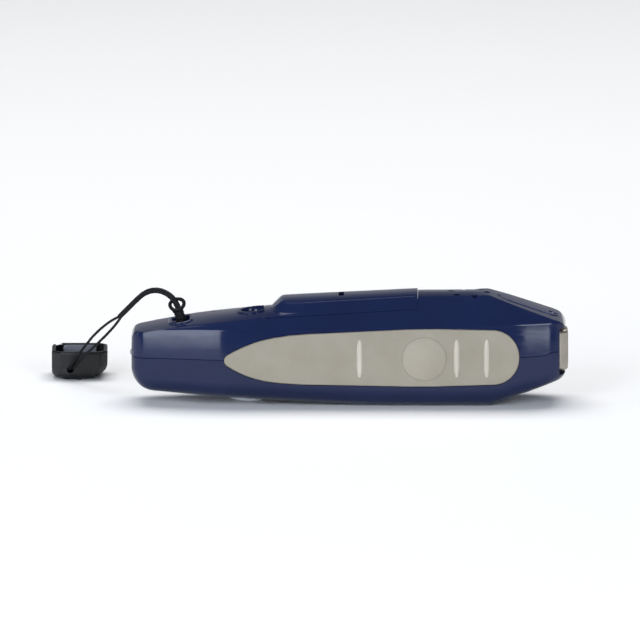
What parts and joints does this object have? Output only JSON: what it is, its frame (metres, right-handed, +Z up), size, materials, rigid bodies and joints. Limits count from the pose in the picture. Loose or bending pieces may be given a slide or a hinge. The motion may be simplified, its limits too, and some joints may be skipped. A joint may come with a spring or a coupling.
{
  "type": "counterfeit detector pen",
  "caption": "Handheld banknote detector with magnetic head, loupe, ultraviolet lamp, side buttons and a strap-tied head cap.",
  "frame": {"origin": "under the middle of the housing, on the surface it rests on", "axes": "+X along the housing from the tail to the magnetic head, +Z up, -Y towards the near button"},
  "size_m": [0.1757, 0.0681, 0.0382],
  "materials": {
    "upper_shell": "glossy dark navy moulded ABS",
    "lower_shell": "glossy dark navy moulded ABS",
    "battery_cover": "glossy dark navy moulded ABS",
    "near_pad": "satin warm grey soft-touch elastomer",
    "far_pad": "satin warm grey soft-touch elastomer",
    "near_button": "satin warm grey soft-touch elastomer",
    "far_button": "satin warm grey soft-touch elastomer",
    "near_plunger": "black nylon",
    "far_plunger": "black nylon",
    "near_switch": "black nylon with tin-plated cover",
    "far_switch": "black nylon with tin-plated cover",
    "main_board": "green solder mask on glass epoxy",
    "board_chips": "black moulding compound",
    "board_screws": "zinc-plated steel",
    "magnetic_head": "polished mu-metal can",
    "head_bracket": "navy nylon",
    "head_wires": "PVC insulation",
    "buzzer": "black ABS",
    "sound_mesh": "black woven dust cloth",
    "buzzer_wires": "PVC insulation",
    "battery_tray": "black ABS",
    "near_cell": null,
    "far_cell": null,
    "contact_plates": "nickel-plated steel",
    "contact_springs": "nickel-plated steel wire",
    "loupe_tube": "matt black ABS",
    "objective_lens": "clear polished acrylic",
    "lens_retainer": "black ABS",
    "eyepiece_lens": "clear polished acrylic",
    "eyepiece_ring": "glossy dark navy ABS",
    "loupe_lamp": "water-clear epoxy lamp",
    "tail_lamp": "water-clear epoxy ultraviolet lamp",
    "tail_lamp_wires": "PVC insulation",
    "signal_lamp": "dark blue tinted epoxy lamp",
    "name_plate": "blank dark navy inlay",
    "shell_screws": "zinc-plated steel",
    "anchor_loop": "black braided polyester",
    "strap_band": "black woven polyester",
    "strap_knot": "black woven polyester",
    "strap_strings": "black braided polyester",
    "string_knot": "black braided polyester",
    "head_cap": "satin black moulded plastic"
  },
  "bodies": {
    "housing": {"upper_shell": "upper_shell", "lower_shell": "lower_shell", "near_pad": "near_pad", "far_pad": "far_pad", "near_switch": "near_switch", "far_switch": "far_switch", "main_board": "main_board", "board_chips": "board_chips", "board_screws": "board_screws", "magnetic_head": "magnetic_head", "head_bracket": "head_bracket", "head_wires": "head_wires", "buzzer": "buzzer", "sound_mesh": "sound_mesh", "buzzer_wires": "buzzer_wires", "battery_tray": "battery_tray", "near_cell": "near_cell", "far_cell": "far_cell", "contact_plates": "contact_plates", "contact_springs": "contact_springs", "loupe_tube": "loupe_tube", "objective_lens": "objective_lens", "lens_retainer": "lens_retainer", "eyepiece_lens": "eyepiece_lens", "eyepiece_ring": "eyepiece_ring", "loupe_lamp": "loupe_lamp", "tail_lamp": "tail_lamp", "tail_lamp_wires": "tail_lamp_wires", "signal_lamp": "signal_lamp", "name_plate": "name_plate", "shell_screws": "shell_screws", "anchor_loop": "anchor_loop", "strap_band": "strap_band", "strap_knot": "strap_knot", "strap_strings": "strap_strings", "string_knot": "string_knot", "head_cap": "head_cap"},
    "battery_cover": {"battery_cover": "battery_cover"},
    "near_button": {"near_button": "near_button", "near_plunger": "near_plunger"},
    "far_button": {"far_button": "far_button", "far_plunger": "far_plunger"}
  },
  "joints": [
    {"name": "cover_lift", "type": "slide", "parent": "housing", "child": "battery_cover", "axis": [0, 0, 1], "range_m": [0, 0.03]},
    {"name": "near_button_press", "type": "slide", "parent": "housing", "child": "near_button", "axis": [0, 1, 0], "range_m": [0, 0.0008], "stiffness_N_per_m": 900, "springref_m": -0.0002},
    {"name": "far_button_press", "type": "slide", "parent": "housing", "child": "far_button", "axis": [0, -1, 0], "range_m": [0, 0.0008], "stiffness_N_per_m": 900, "springref_m": -0.0002}
  ]
}
